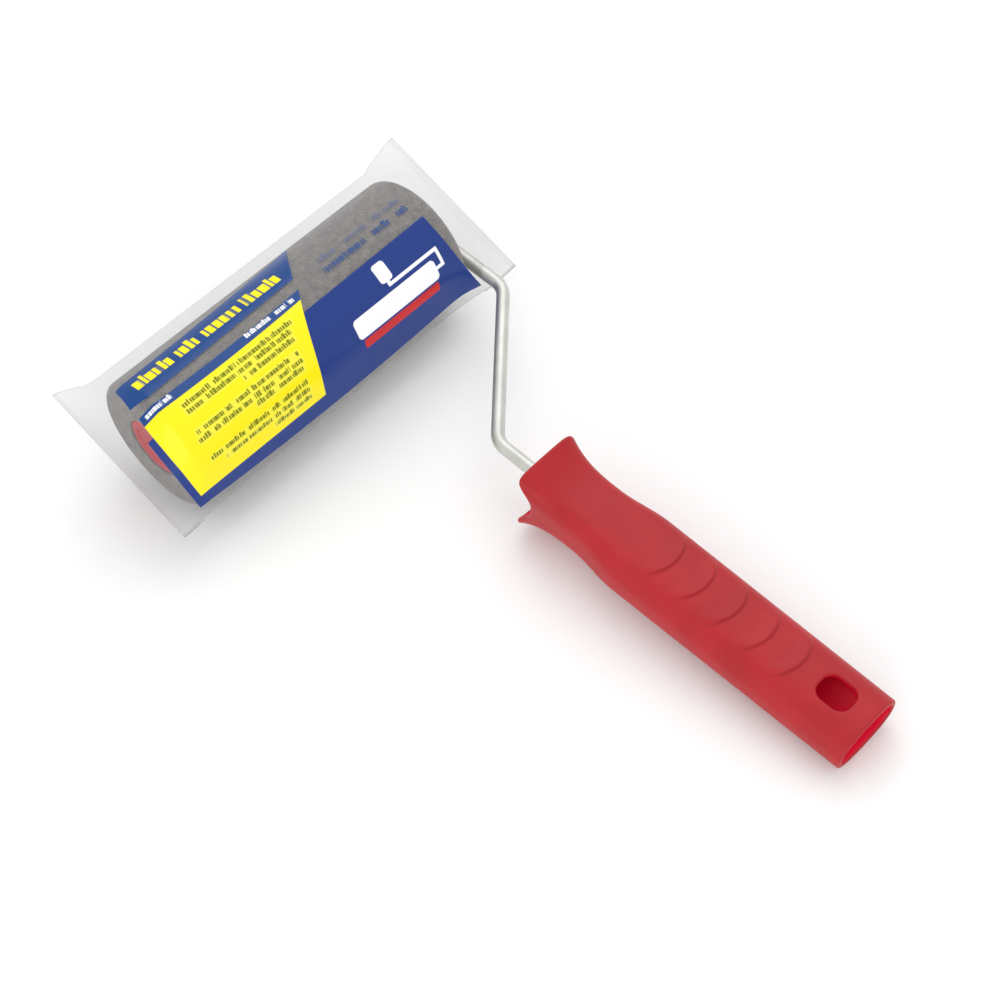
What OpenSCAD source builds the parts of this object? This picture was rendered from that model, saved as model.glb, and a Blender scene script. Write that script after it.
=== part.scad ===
// Mini paint roller: a foam cover on a core tube, a bent wire frame, a hollow moulded handle
// and the clear film sleeve that the cover is sold in. It lies on a table as it does at rest.
// The axle runs along X, the handle points towards -Y, and +Z is up.

/* [Roller] */
// Length of the foam cover
foam_length = 90; // [80:1:110]
// Outside diameter of the foam cover
foam_diameter = 36; // [32:1:46]
// Rounding of the foam's end edges
foam_edge = 2; // [1:0.5:5]
// Outside diameter of the core tube
core_diameter = 16; // [15:0.5:20]
// Wall of the core tube
core_wall = 1; // [0.8:0.1:1.5]

/* [Wire frame] */
// Diameter of the wire
wire_diameter = 3.4; // [3:0.2:5]
// Radius of the wire's bends, on its centre line
bend_radius = 6; // [5:0.5:8]
// Clear gap between the foam's end and the wire's leg
end_gap = 1.5; // [1.2:0.1:3]
// Length of the leg that runs across the roller's end, from the axle
leg_length = 26.6; // [26:0.2:34]
// Distance from the axle to the front of the handle
handle_reach = 72.6; // [66:0.2:90]
// Straight length of wire in front of the handle, on its centre line
wire_neck = 14.7; // [12:0.1:20]
// Distance of the handle from the roller's middle, towards the wire's end
handle_offset = 13.1; // [0:0.1:20]

/* [Handle] */
// Length of the handle
handle_length = 97; // [80:1:120]
// Width of the handle's flared front
front_width = 22.2; // [20:0.2:24]
// Height of the handle's flared front
front_height = 17.2; // [15:0.1:18]
// Width of the handle's body
body_width = 20.6; // [19:0.2:24]
// Height of the handle at its open rear
rear_height = 12.5; // [11:0.5:14]
// Wall of the handle
handle_wall = 1.3; // [1:0.1:1.6]

/* [Film sleeve] */
// Room between the foam and each fold of the sleeve
fold_room = 2.7; // [2:0.1:4]
// How far the sleeve's flat sealed ends spread beyond each fold
seal_spread = 2.5; // [0:0.1:5]
// Turn of the sleeve's flat ends about the axle, in degrees
seal_turn = 18; // [0:1:20]
// Wall of the film
film_wall = 0.3; // [0.25:0.05:0.4]

/* [Hidden] */
$fn = 64;

// Fits and small clearances
running_gap = 0.05;
end_float = 0.3;
film_gap = 0.3;

// Roller
foam_radius = foam_diameter / 2;
foam_end = foam_length / 2;
core_radius = core_diameter / 2;
core_bore = core_radius - core_wall;
wire_radius = wire_diameter / 2;
bush_length = 10;
bush_flange = 1.2;
core_inset = 1.5;
core_end = foam_end - core_inset;
cap_flange = 1.2;
cap_skirt = 7;

// The inner bush stands back inside the core, which leaves room for the wire's first bend
leg_x = foam_end + end_gap + wire_radius;
bend_start = leg_x - bend_radius;
washer_thickness = 0.8;
ear_length = 1.4;
ear_span = wire_diameter + 2.4;
ear_x = bend_start - ear_length - 0.4;
washer_x = ear_x - washer_thickness;
inner_bush_x = washer_x - end_float - bush_length;
outer_bush_x = -core_end + cap_skirt + 4;
push_nut_x = outer_bush_x - end_float;
push_nut_radius = wire_radius + 2.6;
push_nut_thickness = 0.5;
push_nut_dome = 1.8;
axle_end_x = push_nut_x - push_nut_dome;

// Handle, measured backwards from its front
neck_at = 17;
shoulder_at = 31;
neck_width = body_width - 3.6;
rear_width = body_width - 0.4;
neck_height = 13;
side_setback = 4;
side_waist = 2.2;
socket_front = 16;
socket_length = 32;
socket_radius = wire_radius + 2;
web_thickness = 1.6;
hole_length = 9.4;
hole_width = 7.8;
hole_corner = 3;
hole_from_rear = 10;

// Film sleeve
fold_shift = 1.2;
fold_half = foam_radius + fold_room;
seal_half = fold_half + seal_spread;
sleeve_half_height = foam_radius + 2 * film_gap + film_wall;
sleeve_free_end = foam_end + 10;
sleeve_wire_end = leg_x + 9.8;
sleeve_grip = foam_end - 2;
seal_half_height = film_wall + 0.15;
seal_rise = 2.5;
seal_band = 1.5;
wire_slot_radius = wire_radius + 0.7;

// Rest pose: the sleeve and the handle's rear both touch the table. The tilt depends a little on
// the axle's height, and the height on the tilt, so the tilt is worked out twice.
handle_back = handle_reach + handle_length;
rear_half = rear_height / 2;
function tilt_for(height) = asin(height / norm([handle_back, rear_half])) - atan(rear_half / handle_back);
function height_for(lean) =
    norm([fold_half * sin(lean), sleeve_half_height * cos(lean)]) - fold_shift * sin(lean);
axle_height = height_for(seal_turn + tilt_for(sleeve_half_height));
rest_tilt = tilt_for(axle_height);
seal_lean = seal_turn + rest_tilt;
seal_y = (seal_half + fold_shift) * cos(seal_lean) - seal_rise * sin(seal_lean);
rear_y = -(handle_back * cos(rest_tilt) + rear_half * sin(rest_tilt));
centre_x = (sleeve_wire_end - sleeve_free_end) / 2;
centre_y = (seal_y + rear_y) / 2;

// Places a piece, drawn with the axle on the X axis and the frame flat, in the rest pose
module resting() {
    translate([-centre_x, -centre_y, axle_height])
        rotate([rest_tilt, 0, 0])
            children();
}

// Round bar along X
module bar_x(start, length, radius) {
    translate([start, 0, 0])
        rotate([0, 90, 0])
            cylinder(h = length, r = radius);
}

function mix(from, to, part) = from + (to - from) * part;
function ease(part) = (1 - cos(180 * part)) / 2;
function unit(v) = v / norm(v);
function signed_power(value, power) = sign(value) * pow(abs(value), power);

// Foam cover: a thick tube with rounded end edges
module foam_cover() {
    color("#85858a")
        resting()
            rotate([0, 90, 0])
                rotate_extrude()
                    foam_profile();
}

module foam_profile() {
    wall = foam_radius - core_radius;
    translate([core_radius, -foam_end])
        square([wall - foam_edge, foam_length]);
    translate([core_radius, -foam_end + foam_edge])
        square([wall, foam_length - 2 * foam_edge]);
    for (side = [-1, 1])
        translate([foam_radius - foam_edge, side * (foam_end - foam_edge)])
            circle(r = foam_edge);
}

// Core tube that the foam is bonded to
module core_tube() {
    color("white")
        resting()
            difference() {
                bar_x(-core_end, 2 * core_end, core_radius);
                bar_x(-foam_end, foam_length, core_bore);
            }
}

// Bush pressed into the core tube, which runs on the wire axle
module bush(start) {
    hub_radius = wire_radius + 2;
    color("#c8c8c8")
        resting()
            difference() {
                bar_x(start, bush_length, core_bore);
                for (face = [start - 1, start + bush_length / 2 + bush_flange / 2])
                    difference() {
                        bar_x(face, bush_length / 2 + 1 - bush_flange / 2, core_bore - 1.2);
                        bar_x(face - 1, bush_length, hub_radius);
                    }
                bar_x(start - 1, bush_length + 2, wire_radius + running_gap);
            }
}

module outer_bush() {
    bush(outer_bush_x);
}

module inner_bush() {
    bush(inner_bush_x);
}

// Cap that closes the free end of the core tube
module outer_end_cap() {
    color("#be4145")
        resting()
            difference() {
                union() {
                    bar_x(-core_end - cap_flange, cap_flange, core_radius);
                    bar_x(-core_end - 0.1, cap_skirt + 0.1, core_bore);
                }
                bar_x(-core_end, cap_skirt + 1, core_bore - 1.2);
            }
}

// Sprung push nut that grips the free end of the axle and keeps the roller on
module push_nut() {
    slot_count = 6;
    color("silver")
        resting()
            difference() {
                union() {
                    bar_x(push_nut_x - push_nut_thickness, push_nut_thickness, push_nut_radius);
                    bar_x(push_nut_x - push_nut_dome, push_nut_dome, wire_radius + 1);
                }
                bar_x(push_nut_x - push_nut_dome - 1, push_nut_dome + 2, wire_radius);
                for (slot = [0 : slot_count - 1])
                    rotate([slot * 360 / slot_count, 0, 0])
                        translate([push_nut_x - push_nut_dome - 1, -0.3, wire_radius + 0.4])
                            cube([push_nut_dome + 2, 0.6, 1.2]);
            }
}

// Washer between the inner bush and the ears pressed on the wire
module stop_washer() {
    color("silver")
        resting()
            difference() {
                bar_x(washer_x, washer_thickness, wire_radius + 2.2);
                bar_x(washer_x - 1, washer_thickness + 2, wire_radius);
            }
}

// Corners of the wire's centre line, from the free end of the axle to the end in the handle
wire_points = [
    [axle_end_x, 0],
    [leg_x, 0],
    [leg_x, -leg_length],
    [handle_offset, -(handle_reach - wire_neck)],
    [handle_offset, -(handle_reach + socket_front + socket_length - 4)]
];
last_corner = len(wire_points) - 2;

function run_direction(run) = unit(wire_points[run + 1] - wire_points[run]);
function turn_at(corner) =
    let (before = run_direction(corner - 1), after = run_direction(corner))
    atan2(before[0] * after[1] - before[1] * after[0], before * after);
function trim_at(corner) =
    corner < 1 || corner > last_corner ? 0 : bend_radius * tan(abs(turn_at(corner)) / 2);

// The wire swells a little where it is bent, and each straight run reaches into its bends
bend_swell = 0.02;
run_overlap = 0.1;

// Straight run of wire between the bends at its two ends
module wire_run(run) {
    direction = run_direction(run);
    start = wire_points[run] + direction * trim_at(run);
    length = norm(wire_points[run + 1] - wire_points[run]) - trim_at(run) - trim_at(run + 1);
    translate([start[0], start[1], 0])
        rotate([0, 0, atan2(direction[1], direction[0])])
            bar_x(-run_overlap, length + 2 * run_overlap, wire_radius);
}

// Bend of wire about its own centre, from the run before the corner to the run after it
module wire_bend(corner) {
    turn = turn_at(corner);
    before = run_direction(corner - 1);
    inward = [-before[1], before[0]] * sign(turn);
    centre = wire_points[corner] - before * trim_at(corner) + inward * bend_radius;
    heading = atan2(-inward[1], -inward[0]);
    translate([centre[0], centre[1], 0])
        rotate([0, 0, turn > 0 ? heading : heading + turn])
            rotate_extrude(angle = abs(turn))
                translate([bend_radius, 0])
                    circle(r = wire_radius + bend_swell);
}

// Bent wire frame: axle, leg, diagonal and the end that the handle grips
module wire_frame() {
    color("#d8d8d6")
        resting()
            union() {
                for (run = [0 : last_corner])
                    wire_run(run);
                for (corner = [1 : last_corner])
                    wire_bend(corner);
                translate([ear_x, -ear_span / 2, -wire_radius / 2])
                    cube([ear_length, ear_span, wire_radius]);
            }
}

// Half width, half height and squareness of the handle at a distance behind its front
function along_handle(distance, front, neck, body, rear) =
    distance < neck_at ? neck + (front - neck) * pow(1 - distance / neck_at, 2)
    : distance < shoulder_at ? mix(neck, body, ease((distance - neck_at) / (shoulder_at - neck_at)))
    : mix(body, rear, (distance - shoulder_at) / (handle_length - shoulder_at));
function handle_half_width(distance) =
    along_handle(distance, front_width, neck_width, body_width, rear_width) / 2;
function handle_half_height(distance) =
    along_handle(distance, front_height, neck_height, neck_height, rear_height) / 2;
function handle_squareness(distance) = along_handle(distance, 6, 3.6, 3, 2.4);
function handle_waist(distance) = along_handle(distance, side_waist, 0, 0, 0);

// Point on the handle's surface, set inwards by inset, at an angle round it
function handle_point(part, angle, inset) =
    let (
        setback = side_setback * pow(abs(cos(angle)), 8),
        distance = setback + part * (handle_length - setback),
        power = 2 / handle_squareness(distance),
        rise = signed_power(sin(angle), power),
        width = handle_half_width(distance) - inset,
        pinch = handle_waist(distance) * (1 - rise * rise) * sign(cos(angle))
    )
    [
        handle_offset + width * signed_power(cos(angle), power) - pinch,
        -handle_reach - distance,
        (handle_half_height(distance) - inset) * rise
    ];

// Triangles between two rings of points that start at first and second
function band(first, second, count) = [
    for (i = [0 : count - 1])
        let (next = (i + 1) % count)
        each [[first + i, second + i, second + next], [first + i, second + next, first + next]]
];

// Open shell of the handle: the outer and inner skins joined at the front and rear rims
module handle_shell() {
    ring_count = 20;
    ring_size = 40;
    inner = ring_count * ring_size;
    last = (ring_count - 1) * ring_size;
    skins = [
        for (inset = [0, handle_wall], ring = [0 : ring_count - 1], i = [0 : ring_size - 1])
            handle_point(pow(ring / (ring_count - 1), 1.4), i * 360 / ring_size, inset)
    ];
    outer_faces = [
        for (ring = [0 : ring_count - 2])
            each band(ring * ring_size, (ring + 1) * ring_size, ring_size)
    ];
    inner_faces = [
        for (ring = [0 : ring_count - 2])
            each band(inner + (ring + 1) * ring_size, inner + ring * ring_size, ring_size)
    ];
    rims = concat(band(inner, 0, ring_size), band(last, inner + last, ring_size));
    polyhedron(points = skins, faces = concat(outer_faces, inner_faces, rims));
}

// Socket inside the neck that grips the wire, tied to the shell by crossed webs
module wire_socket() {
    start = -(handle_reach + socket_front + socket_length);
    translate([handle_offset, start, 0]) {
        rotate([-90, 0, 0])
            cylinder(h = socket_length, r = socket_radius);
        translate([-web_thickness / 2, 0, -neck_height / 2 + handle_wall / 2])
            cube([web_thickness, socket_length, neck_height - handle_wall]);
        translate([-neck_width / 2 + handle_wall / 2, 0, -web_thickness / 2])
            cube([neck_width - handle_wall, socket_length, web_thickness]);
    }
}

// Rounded rectangle centred on the origin
module rounded_rectangle(length, width, corner) {
    square([width - 2 * corner, length], center = true);
    square([width, length - 2 * corner], center = true);
    for (x = [-1, 1], y = [-1, 1])
        translate([x * (width / 2 - corner), y * (length / 2 - corner)])
            circle(r = corner);
}

// Hollow moulded handle with a flared open front, an open rear and a hanging hole on top
module handle() {
    color("#be4145")
        resting()
            difference() {
                union() {
                    handle_shell();
                    wire_socket();
                }
                translate([handle_offset, -(handle_reach + handle_length / 2 + 1), 0])
                    rotate([-90, 0, 0])
                        cylinder(h = handle_length / 2 + 2, r = wire_radius);
                translate([handle_offset, -(handle_back - hole_from_rear), 0])
                    linear_extrude(front_height)
                        rounded_rectangle(hole_length, hole_width, hole_corner);
            }
}

// How far a section has moved from the foam's end towards the sealed end: 0 to 1
function sleeve_part(x) =
    x > 0 ? max(0, x - sleeve_grip) / (sleeve_wire_end - sleeve_grip)
    : max(0, -x - sleeve_grip) / (sleeve_free_end - sleeve_grip);

// Point on the film: an oval section round the foam that flattens to the sealed ends
function sleeve_point(x, angle, inset) =
    let (
        part = sleeve_part(x),
        width = mix(fold_half, seal_half, ease(part)) - inset,
        height = mix(seal_half_height, sleeve_half_height, cos(90 * part)) - inset
    )
    [x, fold_shift + width * cos(angle), height * sin(angle) + seal_rise * part * part];

// Places of the sections: one straight stretch over the foam and a row of steps to each end
function sleeve_stations(shorten) =
    let (steps = 8)
    concat(
        [for (i = [steps : -1 : 0]) -mix(sleeve_grip, sleeve_free_end - shorten, i / steps)],
        [for (i = [0 : steps]) mix(sleeve_grip, sleeve_wire_end - shorten, i / steps)]
    );

// Closed body with the sleeve's outline, set inwards by inset and shortened at both ends
module sleeve_body(inset, shorten) {
    ring_size = 48;
    stations = sleeve_stations(shorten);
    rings = len(stations);
    skin = [
        for (x = stations, i = [0 : ring_size - 1])
            sleeve_point(x, i * 360 / ring_size, inset)
    ];
    sides = [
        for (ring = [0 : rings - 2])
            each band((ring + 1) * ring_size, ring * ring_size, ring_size)
    ];
    free_cap = [[for (i = [0 : ring_size - 1]) i]];
    wire_cap = [[for (i = [ring_size - 1 : -1 : 0]) (rings - 1) * ring_size + i]];
    polyhedron(points = skin, faces = concat(sides, free_cap, wire_cap));
}

// Clear film sleeve, sealed flat at both ends, with a slit where the wire comes out
module film_sleeve() {
    color("lightblue", 0.4)
        resting()
            difference() {
                rotate([seal_turn, 0, 0])
                    sleeve_body(0, 0);
                rotate([seal_turn, 0, 0])
                    sleeve_body(film_wall, seal_band);
                translate([leg_x, -leg_length - wire_radius, 0])
                    rotate([-90, 0, 0])
                        cylinder(h = leg_length / 2, r = wire_slot_radius);
            }
}

foam_cover();
core_tube();
outer_bush();
inner_bush();
outer_end_cap();
push_nut();
stop_washer();
wire_frame();
handle();
film_sleeve();
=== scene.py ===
import math

import bmesh
import bpy
import numpy as np
from mathutils import Matrix, Vector


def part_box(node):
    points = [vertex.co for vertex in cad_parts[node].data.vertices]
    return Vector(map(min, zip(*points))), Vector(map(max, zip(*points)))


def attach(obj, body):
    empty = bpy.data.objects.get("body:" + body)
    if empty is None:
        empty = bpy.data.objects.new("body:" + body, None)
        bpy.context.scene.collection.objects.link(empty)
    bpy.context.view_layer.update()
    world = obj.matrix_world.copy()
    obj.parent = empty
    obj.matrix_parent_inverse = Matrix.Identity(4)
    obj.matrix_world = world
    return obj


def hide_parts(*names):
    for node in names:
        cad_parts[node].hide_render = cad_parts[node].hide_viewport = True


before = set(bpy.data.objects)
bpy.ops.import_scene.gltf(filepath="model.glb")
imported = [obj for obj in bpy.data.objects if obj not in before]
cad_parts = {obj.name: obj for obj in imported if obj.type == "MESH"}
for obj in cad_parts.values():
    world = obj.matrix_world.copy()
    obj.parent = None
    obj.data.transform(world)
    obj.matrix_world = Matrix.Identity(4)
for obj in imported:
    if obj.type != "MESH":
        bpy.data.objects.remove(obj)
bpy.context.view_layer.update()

print("frame loaded:", len(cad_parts), "nodes")

# Every piece is drawn in millimetres with the axle on the X axis, then laid down in its rest pose
millimetre = 0.001
weldDistance = 1e-7  # metres
restLean = 4.2203  # degrees the tool leans back when it lies on a table
tubeLow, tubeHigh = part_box("core_tube")
axleCentre = (tubeLow + tubeHigh) / 2
layDown = Matrix.Translation(axleCentre) @ Matrix.Rotation(math.radians(restLean), 4, "X")
layDown = layDown @ Matrix.Scale(millimetre, 4)


def addToScene(name, data):
    made = bpy.data.objects.new(name, data)
    bpy.context.scene.collection.objects.link(made)
    return made


def meshObject(name, points, faces, smooth=True):
    mesh = bpy.data.meshes.new(name)
    mesh.from_pydata([tuple(map(float, point)) for point in points], [], faces)
    mesh.transform(layDown)
    mesh.polygons.foreach_set("use_smooth", [smooth] * len(mesh.polygons))
    mesh.update()
    return addToScene(name, mesh)


def meshFromBuild(name, build, smooth=True):
    # turns a finished bmesh into a laid down object
    build.verts.index_update()
    points = [tuple(vert.co) for vert in build.verts]
    faces = [tuple(vert.index for vert in face.verts) for face in build.faces]
    build.free()
    return meshObject(name, points, faces, smooth)


def setMaterial(piece, material):
    piece.data.materials.clear()
    piece.data.materials.append(material)


def storeValues(piece, name, values):
    layer = piece.data.attributes.new(name, "FLOAT", "POINT")
    layer.data.foreach_set("value", values)


def faceOutwards(piece):
    build = bmesh.new()
    build.from_mesh(piece.data)
    stray = [point for point in build.verts if not point.link_faces]
    bmesh.ops.delete(build, geom=stray, context="VERTS")
    bmesh.ops.remove_doubles(build, verts=build.verts, dist=weldDistance)
    bmesh.ops.recalc_face_normals(build, faces=build.faces)
    build.to_mesh(piece.data)
    build.free()


def bridge(faces, first, second):
    # quads between two closed rings of points
    for place in range(len(first)):
        following = (place + 1) % len(first)
        faces.append((first[place], first[following], second[following], second[place]))


def ringFaces(rings, size):
    faces = []
    for start in range(0, (rings - 1) * size, size):
        bridge(faces, range(start, start + size), range(start + size, start + 2 * size))
    return faces


def latheAlongAxle(name, profile, count, ripple=None):
    # turns a closed outline of (x, radius) about the axle
    points = []
    for x, radius in profile:
        for step in range(count):
            angle = 2 * math.pi * step / count
            reach = radius + (ripple(x, radius, angle) if ripple else 0)
            points.append((x, reach * math.cos(angle), reach * math.sin(angle)))
    faces = ringFaces(len(profile), count)
    bridge(faces, range(len(points) - count, len(points)), range(count))
    made = meshObject(name, points, faces)
    faceOutwards(made)
    return made


# ---- shader nodes


def feed(socket, value):
    # a socket takes either another node's output or a plain value
    if isinstance(value, bpy.types.NodeSocket):
        socket.id_data.links.new(value, socket)
    else:
        socket.default_value = value


def feedAll(node, **inputs):
    for name, value in inputs.items():
        feed(node.inputs[name.replace("_", " ")], value)


def addNode(tree, kind, settings=None, inOrder=(), **inputs):
    made = tree.nodes.new(kind)
    for name, value in (settings or {}).items():
        setattr(made, name, value)
    for socket, value in zip(list(made.inputs), inOrder):
        feed(socket, value)
    feedAll(made, **inputs)
    return made


def addBeside(values, kind, settings=None, inOrder=(), **inputs):
    # adds a node to the tree that the first of the values to be an output comes from
    tree = next(value.id_data for value in values if isinstance(value, bpy.types.NodeSocket))
    return addNode(tree, kind, settings, inOrder, **inputs)


def maths(operation, *values):
    return addBeside(values, "ShaderNodeMath", {"operation": operation}, values).outputs[0]


def combined(operation, values):
    # runs one operation over a whole row of values
    result = values[0]
    for value in values[1:]:
        result = maths(operation, result, value)
    return result


def product(*values):
    return combined("MULTIPLY", values)


def total(*values):
    return combined("ADD", values)


def strongest(*values):
    return combined("MAXIMUM", values)


def difference(first, second):
    return maths("SUBTRACT", first, second)


def magnitude(value):
    return maths("ABSOLUTE", value)


def ramp(*values):
    # smooth step of a value: where it starts and ends, and what it goes from and to if not 0 and 1
    return addBeside(values, "ShaderNodeMapRange", {"interpolation_type": "SMOOTHSTEP"}, values).outputs[0]


def mixColour(factor, under, over):
    made = addBeside([factor], "ShaderNodeMix", {"data_type": "RGBA"}, [factor])
    feed(made.inputs[6], under)  # the colour sockets come after those for numbers
    feed(made.inputs[7], over)
    return made.outputs[2]


def noise(place, scale, **settings):
    return addBeside([place], "ShaderNodeTexNoise", Vector=place, Scale=scale, **settings).outputs["Fac"]


def separate(place):
    return addBeside([place], "ShaderNodeSeparateXYZ", Vector=place).outputs


def storedValue(tree, name, output="Fac"):
    return addNode(tree, "ShaderNodeAttribute", {"attribute_name": name}).outputs[output]


def newGroup(name, inputs, outputs, kind="ShaderNodeTree"):
    # each input has a plain number or, where it has none, the kind of its socket
    tree = bpy.data.node_groups.new(name, kind)
    for label, value in inputs.items():
        isPlain = not isinstance(value, str)
        socketKind = {float: "Float", int: "Int"}[type(value)] if isPlain else value
        socket = tree.interface.new_socket(name=label, in_out="INPUT", socket_type="NodeSocket" + socketKind)
        if isPlain:
            socket.default_value = value
    for label, value in outputs.items():
        tree.interface.new_socket(name=label, in_out="OUTPUT", socket_type="NodeSocket" + value)
    given = tree.nodes.new("NodeGroupInput")
    result = tree.nodes.new("NodeGroupOutput")
    return tree, given.outputs, result.inputs


def useGroup(group, **inputs):
    return addBeside(inputs.values(), "ShaderNodeGroup", {"node_tree": group}, **inputs).outputs


def newMaterial(name, **constants):
    # a material with one Principled shader whose plain values sit on its own sockets
    material = bpy.data.materials.new(name)
    material.use_nodes = True
    tree = material.node_tree
    shader = tree.nodes["Principled BSDF"]
    feedAll(shader, **constants)
    place = tree.nodes.new("ShaderNodeTexCoord").outputs["Object"]
    return material, tree, shader, place


def bumps(height, strength, depth):
    return addBeside([height], "ShaderNodeBump", Strength=strength, Distance=depth, Height=height).outputs[0]


def colour(red, green, blue):
    # everyday 0 to 255 colour to the linear one that shaders use
    def linear(value):
        value = value / 255
        return value / 12.92 if value <= 0.04045 else ((value + 0.055) / 1.055) ** 2.4

    return (linear(red), linear(green), linear(blue), 1.0)


def shaded(tone, factors):
    # one factor for the whole colour, or one each for red, green and blue
    return tuple(map(float, np.minimum(np.array(tone[:3]) * factors, 1.0))) + (1.0,)


def buildSurfaceGrain():
    # fine moulding grain with a slow drift of shade, shared by every plastic and metal
    inputs = {"Place": "Vector", "Grain Size": 0.4, "Drift Size": 12.0}
    tree, given, result = newGroup("surfaceGrain", inputs, {"Height": "Float", "Drift": "Float"})
    fineScale = maths("DIVIDE", 1 / millimetre, given["Grain Size"])
    slowScale = maths("DIVIDE", 1 / millimetre, given["Drift Size"])
    fine = noise(given["Place"], fineScale, Detail=3.0, Roughness=0.6)
    slow = noise(given["Place"], slowScale, Detail=2.0, Roughness=0.5)
    feed(result["Height"], fine)
    feed(result["Drift"], ramp(slow, 0.3, 0.7))
    return tree


scuffLines = {
    "turns": (0.35, 1.9),  # radians, one for each direction
    "tilt": (0.4, 0.2),
    "narrowness": 24.0,
    "faintest": 0.66,
    "fullest": 0.74,
}


def buildHandlingScuffs():
    # short faint scratches in two directions, shared by what hands and tools touch
    inputs = {"Place": "Vector", "Length": 6.0, "Amount": 0.5}
    tree, given, result = newGroup("handlingScuffs", inputs, {"Mask": "Float"})
    scale = maths("DIVIDE", 1 / millimetre, given["Length"])
    stretch = (1.0, scuffLines["narrowness"], scuffLines["narrowness"])
    masks = []
    for turn in scuffLines["turns"]:
        rotation = (*scuffLines["tilt"], turn)
        turned = addNode(tree, "ShaderNodeMapping", Vector=given["Place"], Rotation=rotation, Scale=stretch)
        streaks = noise(turned.outputs[0], scale, Detail=1.0)
        masks.append(ramp(streaks, scuffLines["faintest"], scuffLines["fullest"]))
    feed(result["Mask"], product(strongest(*masks), given["Amount"]))
    return tree


surfaceGrain = buildSurfaceGrain()
handlingScuffs = buildHandlingScuffs()


def wornRoughness(grain, scuff, roughness, spread, scuffShine):
    # roughness that varies with the grain and rises on the scuffs
    varied = ramp(grain["Height"], 0.3, 0.7, roughness - spread, roughness + spread)
    return total(varied, product(scuff, scuffShine))


plasticFinish = {
    "grainSize": 0.35,
    "roughnessSpread": 0.03,
    "scuffShine": 0.12,
    "scuffDip": 0.6,
    # how dark the painted shade along the grip ridges is, as a factor of the tone
    "lineShade": 0.55,
    "bumpStrength": 0.25,
    "bumpDepth": 0.00003,
}


def plasticMaterial(name, tone, roughness, shine=0.5, drift=0.06, paintedInsideGlow=None, paintedShadeAttribute=None):
    look = plasticFinish
    material, tree, shader, place = newMaterial(name, IOR=1.49, Specular_IOR_Level=shine)
    grain = useGroup(surfaceGrain, Place=place, Grain_Size=look["grainSize"])
    scuff = useGroup(handlingScuffs, Place=place)["Mask"]
    base = mixColour(grain["Drift"], shaded(tone, 1 - drift), shaded(tone, 1 + drift))
    # painted light: the inner skin is drawn a brighter, more saturated red, standing in for light bounced
    # about inside the handle
    if paintedInsideGlow:
        base = mixColour(storedValue(tree, "insideSkin"), base, paintedInsideGlow)
    if paintedShadeAttribute:  # painted shade along the sharp drop of each grip ridge
        base = mixColour(storedValue(tree, paintedShadeAttribute), base, shaded(tone, look["lineShade"]))
    rough = wornRoughness(grain, scuff, roughness, look["roughnessSpread"], look["scuffShine"])
    height = difference(grain["Height"], product(scuff, look["scuffDip"]))
    relief = bumps(height, look["bumpStrength"], look["bumpDepth"])
    feedAll(shader, Base_Color=base, Roughness=rough, Normal=relief)
    return material


metalFinish = {
    "grainSize": 0.25,
    "driftSize": 5.0,
    "dullest": 0.88,
    "scuffLength": 4.0,
    "scuffAmount": 0.6,
    "roughnessSpread": 0.05,
    "scuffShine": 0.15,
    "bumpStrength": 0.2,
    "bumpDepth": 0.00002,
}


def metalMaterial(name, tone, roughness):
    look = metalFinish
    material, _, shader, place = newMaterial(name, Metallic=1.0)
    grain = useGroup(surfaceGrain, Place=place, Grain_Size=look["grainSize"], Drift_Size=look["driftSize"])
    scuff = useGroup(handlingScuffs, Place=place, Length=look["scuffLength"], Amount=look["scuffAmount"])
    base = mixColour(grain["Drift"], shaded(tone, look["dullest"]), tone)
    rough = wornRoughness(grain, scuff["Mask"], roughness, look["roughnessSpread"], look["scuffShine"])
    relief = bumps(grain["Height"], look["bumpStrength"], look["bumpDepth"])
    feedAll(shader, Base_Color=base, Roughness=rough, Normal=relief)
    return material


# the handle's inside gets a painted glow, and its grip ridges a painted shade line
handleLook = {"paintedInsideGlow": colour(232, 12, 60), "paintedShadeAttribute": "ridgePaintedShade"}
redPlastic = plasticMaterial("redPlastic", colour(173, 32, 38), 0.42, 0.28, **handleLook)
capPlastic = plasticMaterial("capPlastic", colour(190, 50, 58), 0.45, 0.3)
corePlastic = plasticMaterial("corePlastic", colour(232, 232, 228), 0.5, drift=0.03)
bushPlastic = plasticMaterial("bushPlastic", colour(214, 212, 204), 0.55, drift=0.04)
zincWire = metalMaterial("zincWire", colour(208, 208, 203), 0.46)
springSteel = metalMaterial("springSteel", colour(196, 197, 200), 0.36)
print("shared materials built")

# ---- foam cover

foamCover = {
    "length": 90.0,
    "radius": 18.0,
    "bore": 8.0,
    "edge": 2.4,  # rounding of the end edges
    "edgeSteps": 6,
    "sideSteps": 56,
    "turnSteps": 144,
    "unevenness": 0.05,
    "tone": colour(134, 130, 128),
    "warmer": (1.28, 1.21, 1.15),  # factors of the tone
    "cooler": (0.62, 0.64, 0.67),
    # how dark the painted shade in the sunken pores is, as a factor of the tone
    "poreShade": 0.72,
    "poreSize": 0.7,
}


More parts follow.
